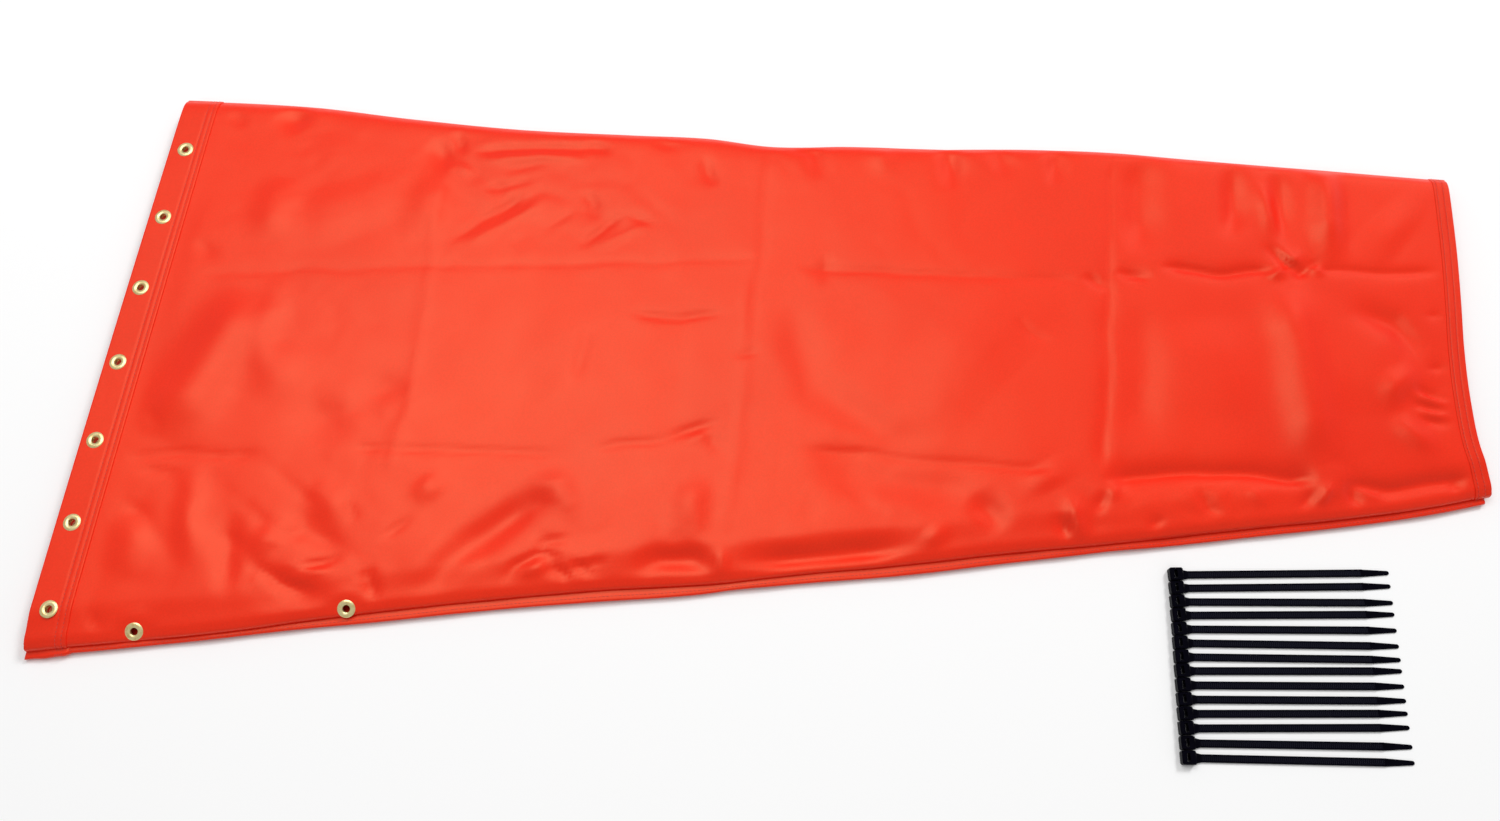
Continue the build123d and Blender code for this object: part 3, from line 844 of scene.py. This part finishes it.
def makeSeam():
    stations = np.arange(bandEnd - 3 * mm, hemStart + 9 * mm, seamShape["step"] * mm)
    return cappedStrip("sideSeam", [standUp(s, seamSection(s)) for s in stations])


sideSeam = dress(makeSeam(), seamCloth)
for piece in (sleeve, throatBand, tailHem):
    faceOutwards(piece)
print("seam made")


# the tab where the throat band is folded over the end of the seam

tabShape = {
    "low": 0.6, "high": 4.2, "out": 6.0, "in": 3.0, "start": 0.3, "end": 26.0, "rings": 16,
    "shift": 1.0, "narrowing": 1.2, "rise": 0.9, "drawnIn": 0.5, "closing": 0.35,
}


def makeTab():
    k = tabShape
    rings = []
    for s in np.linspace(k["start"] * mm, k["end"] * mm / math.cos(lean), k["rings"]):
        line = nearEdge(s) + k["shift"] * mm
        out = k["out"] - k["narrowing"] * smoothStep(s, 23 * mm, 26 * mm)
        outer, inner = line - out * mm + 0.25 * mm * math.sin(s * 400), line + k["in"] * mm
        low, high = k["low"] * mm, (k["high"] - k["rise"] * smoothStep(s, 18 * mm, 0)) * mm
        ring = [(inner, high), (line, high + 0.15 * mm), (line - 2.5 * mm, high)]
        ring += roundEdge(outer, low, high)
        ring += [(line - 2.5 * mm, low), (line, low), (inner, low)]
        rings.append(standUp(s, ring))
    # both ends are drawn in a little before they close
    first, last = rings[0].copy(), rings[-1].copy()
    for ring, way in ((first, -1), (last, 1)):
        ring[:, 0] += way * k["drawnIn"] * mm
        ring[:, 2] += (ring[:, 2].mean() - ring[:, 2]) * k["closing"]
    return cappedStrip("bandTab", [first] + rings + [last])


bandTab = dress(makeTab(), bandCloth)
print("tab made")


# stitches: Geometry Nodes set one small thread loop after another along each row

stitchShape = {
    "pitch": 2.6 * mm, "long": 2.15 * mm, "wide": 0.52 * mm, "high": 0.4 * mm, "uneven": 0.1, "seed": 4,
    "segments": 8, "rings": 6, "throatLift": 0.48, "tailLift": 0.45, "seamLift": 0.06, "tackLift": 0.12,
    "throatPoints": 700, "tailPoints": 420, "tackPoints": 6, "tacks": (18.6, 19.8, 21.0, 22.2),
}


def stitchTree():
    tree = bpy.data.node_groups.new("stitchRows", "GeometryNodeTree")
    tree.interface.new_socket("Rows", in_out="INPUT", socket_type="NodeSocketGeometry")
    for name in ("Pitch", "Length", "Width", "Height", "Uneven"):
        tree.interface.new_socket(name, in_out="INPUT", socket_type="NodeSocketFloat")
    tree.interface.new_socket("Seed", in_out="INPUT", socket_type="NodeSocketInt")
    tree.interface.new_socket("Thread", in_out="INPUT", socket_type="NodeSocketMaterial")
    tree.interface.new_socket("Stitches", in_out="OUTPUT", socket_type="NodeSocketGeometry")

    def add(kind, **settings):
        node = tree.nodes.new(kind)
        for key, value in settings.items():
            setattr(node, key, value)
        return node

    def join(source, node, socket):
        tree.links.new(source, node.inputs[socket])

    given = add("NodeGroupInput").outputs
    line = add("GeometryNodeMeshToCurve")
    join(given["Rows"], line, "Mesh")
    spaced = add("GeometryNodeResampleCurve", mode="LENGTH")
    join(line.outputs["Curve"], spaced, "Curve")
    join(given["Pitch"], spaced, "Length")
    up = add("GeometryNodeInputNamedAttribute", data_type="FLOAT_VECTOR")
    up.inputs["Name"].default_value = "clothUp"
    along = add("FunctionNodeAlignRotationToVector", axis="X")
    join(add("GeometryNodeInputTangent").outputs["Tangent"], along, "Vector")
    upright = add("FunctionNodeAlignRotationToVector", axis="Z", pivot_axis="X")
    join(along.outputs["Rotation"], upright, "Rotation")
    join(up.outputs["Attribute"], upright, "Vector")
    loop = add("GeometryNodeMeshUVSphere")
    loop.inputs["Segments"].default_value = stitchShape["segments"]
    loop.inputs["Rings"].default_value = stitchShape["rings"]
    loop.inputs["Radius"].default_value = 0.5
    size = add("ShaderNodeCombineXYZ")
    join(given["Length"], size, "X")
    join(given["Width"], size, "Y")
    join(given["Height"], size, "Z")
    low = add("ShaderNodeMath", operation="SUBTRACT")
    low.inputs[0].default_value = 1
    join(given["Uneven"], low, 1)
    chance = add("FunctionNodeRandomValue", data_type="FLOAT")
    join(low.outputs["Value"], chance, 2)
    chance.inputs[3].default_value = 1
    join(given["Seed"], chance, "Seed")
    scaled = add("ShaderNodeVectorMath", operation="SCALE")
    join(size.outputs["Vector"], scaled, "Vector")
    join(chance.outputs[1], scaled, "Scale")
    placed = add("GeometryNodeInstanceOnPoints")
    join(spaced.outputs["Curve"], placed, "Points")
    join(loop.outputs["Mesh"], placed, "Instance")
    join(upright.outputs["Rotation"], placed, "Rotation")
    join(scaled.outputs["Vector"], placed, "Scale")
    real = add("GeometryNodeRealizeInstances")
    join(placed.outputs["Instances"], real, "Geometry")
    smooth = add("GeometryNodeSetShadeSmooth")
    join(real.outputs["Geometry"], smooth, "Geometry")
    painted = add("GeometryNodeSetMaterial")
    join(smooth.outputs["Geometry"], painted, "Geometry")
    join(given["Thread"], painted, "Material")
    join(painted.outputs["Geometry"], add("NodeGroupOutput"), "Stitches")
    return tree


def stitchPiece(name, tree, rows):
    # rows is a list of (points, cloth normals, closed)
    verts, edges, ups = [], [], []
    for points, normals, closed in rows:
        base, count = len(verts), len(points)
        verts += points.tolist()
        ups.append(normals)
        edges += [(base + i, base + i + 1) for i in range(count - 1)]
        if closed:
            edges.append((base + count - 1, base))
    mesh = bpy.data.meshes.new(name)
    mesh.from_pydata(verts, edges, [])
    up = mesh.attributes.new("clothUp", "FLOAT_VECTOR", "POINT")
    up.data.foreach_set("vector", np.concatenate(ups).ravel().astype(np.float32))
    obj = link(bpy.data.objects.new(name, mesh))
    sewn = obj.modifiers.new("Stitches", "NODES")
    sewn.node_group = tree
    k = stitchShape
    values = {"Pitch": k["pitch"], "Length": k["long"], "Width": k["wide"], "Height": k["high"],
              "Uneven": k["uneven"], "Seed": k["seed"], "Thread": thread}
    for socket in tree.interface.items_tree:
        if socket.in_out == "INPUT" and socket.name in values:
            sewn[socket.identifier] = values[socket.name]
    return dress(applied(obj), thread)


def bandRow(station, lift, count):
    t = np.linspace(0, 4, count, endpoint=False)
    s = np.full(count, station)
    normal = outward(s, t)
    return skin(s, t) + normal * lift * mm, normal, True


def seamRow(s, down):
    # along the middle of the seam's lip, on its upper or its under face
    level = stitchShape["seamLift"] * mm
    points = []
    for station in s:
        ring = seamSection(station)
        x, y = onGround(station, np.array(ring[2][0]))
        z = ring[-3][1] - level if down else ring[2][1] + level
        points.append((x, y, z))
    normal = np.tile((0, 0, -1.0 if down else 1.0), (len(points), 1))
    return np.array(points, float), normal, False


def tackRow(distance):
    # one of the short rows that hold the end of the band down
    s, count = distance * mm / math.cos(lean), stitchShape["tackPoints"]
    y = np.linspace(nearEdge(s) - 4.2 * mm, nearEdge(s) + 2.6 * mm, count)
    x, y = onGround(np.full(count, s), y)
    z = np.full(count, (tabShape["high"] + stitchShape["tackLift"]) * mm)
    return np.stack([x, y, z], -1), np.tile((0, 0, 1.0), (count, 1)), False


def bandRows(kind, fromTail):
    rows = []
    for distance in bandShape[kind]["rows"]:
        s = distance * mm / math.cos(lean)
        s = laid["length"] - s if fromTail else s
        rows.append(bandRow(s, stitchShape[kind + "Lift"], stitchShape[kind + "Points"]))
    return rows


sewing = stitchTree()
tacks = [tackRow(d) for d in stitchShape["tacks"]]
throatStitches = stitchPiece("throatStitches", sewing, bandRows("throat", False) + tacks)
tailStitches = stitchPiece("tailStitches", sewing, bandRows("tail", True))
# the seam is sewn in two runs
seamStations = np.arange(bandEnd + 2 * mm, hemStart - 2 * mm, stitchShape["pitch"])
early = seamStations < seamShape["restart"] * laid["length"]
runs = (seamStations[early], seamStations[~early])
seamRows = [seamRow(run, down) for run in runs for down in (False, True)]
seamStitches = stitchPiece("seamStitches", sewing, seamRows)
sewn = (throatStitches, tailStitches, seamStitches)
print("stitches sewn,", sum(len(piece.data.polygons) for piece in sewn), "faces")


# riding, hiding the CAD cloth, and finishes for the CAD parts

for piece in (sleeve, sideSeam, seamStitches):
    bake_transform(piece)
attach(throatBand, "throat_half")
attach(bandTab, "throat_half")
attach(throatStitches, "throat_half")
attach(tailHem, "tail_half")
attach(tailStitches, "tail_half")
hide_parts("sleeve_throat_half", "sleeve_tail_half")
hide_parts("side_seam_throat_half", "side_seam_tail_half")
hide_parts("throat_band")
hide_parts("tail_hem")

for name, node in cadNodes.items():
    if name.startswith("cable_tie"):
        dress(node, nylon)
    elif "eyelet" in name:
        dress(node, brass)
    elif "washer" in name:
        dress(node, brassWasher)


# floor, light and camera

studio = {
    "camera": (0.4139, -0.3257, 0.7463), "pitch": 68.88, "yaw": -1.06, "lens": 28.86, "sensor": 36,
    "floor": 14.0, "floorPlace": (0.4, 0, -0.05 * mm), "floorTone": (1.0, 1.0, 1.0), "sky": 0.41,
    "aim": (0.42, 0, 0),
    "key": (3.2, 3.0, 3.6), "keySize": 1.2, "keyPower": 106,
    "edge": (3.2, 3.3, 3.0), "edgeSize": 1.5, "edgePower": 16,
    "gloss": (0.08, 0.62, 1.95), "glossSize": 1.5, "glossPower": 18,
}


def makeStudio():
    k = studio
    camera = bpy.data.cameras.new("camera")
    camera.lens, camera.sensor_width, camera.sensor_fit = k["lens"], k["sensor"], "HORIZONTAL"
    camera.clip_start = 0.01
    view = link(bpy.data.objects.new("camera", camera))
    view.location = k["camera"]
    view.rotation_euler = (math.radians(90 - k["pitch"]), 0, math.radians(k["yaw"]))
    scene.camera = view
    bpy.ops.mesh.primitive_plane_add(size=k["floor"], location=k["floorPlace"])
    floor = bpy.context.object
    floor.name = "floor"
    material, nodes, links, shader = newMaterial("paleFloor")
    shader.inputs["Base Color"].default_value = (*k["floorTone"], 1)
    shader.inputs["Roughness"].default_value = 0.9
    shader.inputs["Specular IOR Level"].default_value = 0.1
    floor.data.materials.append(material)
    world = bpy.data.worlds.new("softSky")
    scene.world = world
    world.use_nodes = True
    sky = world.node_tree.nodes["Background"]
    sky.inputs["Color"].default_value = (1, 1, 1, 1)
    sky.inputs["Strength"].default_value = k["sky"]
    for name in ("key", "edge", "gloss"):
        light = bpy.data.lights.new(name, "AREA")
        light.shape, light.size, light.energy = "SQUARE", k[name + "Size"], k[name + "Power"]
        lamp = link(bpy.data.objects.new(name, light))
        lamp.location = k[name]
        toward = Vector(k["aim"]) - Vector(k[name])
        lamp.rotation_euler = toward.to_track_quat("-Z", "Y").to_euler()
        # the key only lights; the two others also shine in the cloth
        lamp.visible_glossy = name != "key"
    scene.view_settings.view_transform = "Standard"


makeStudio()
print("done")
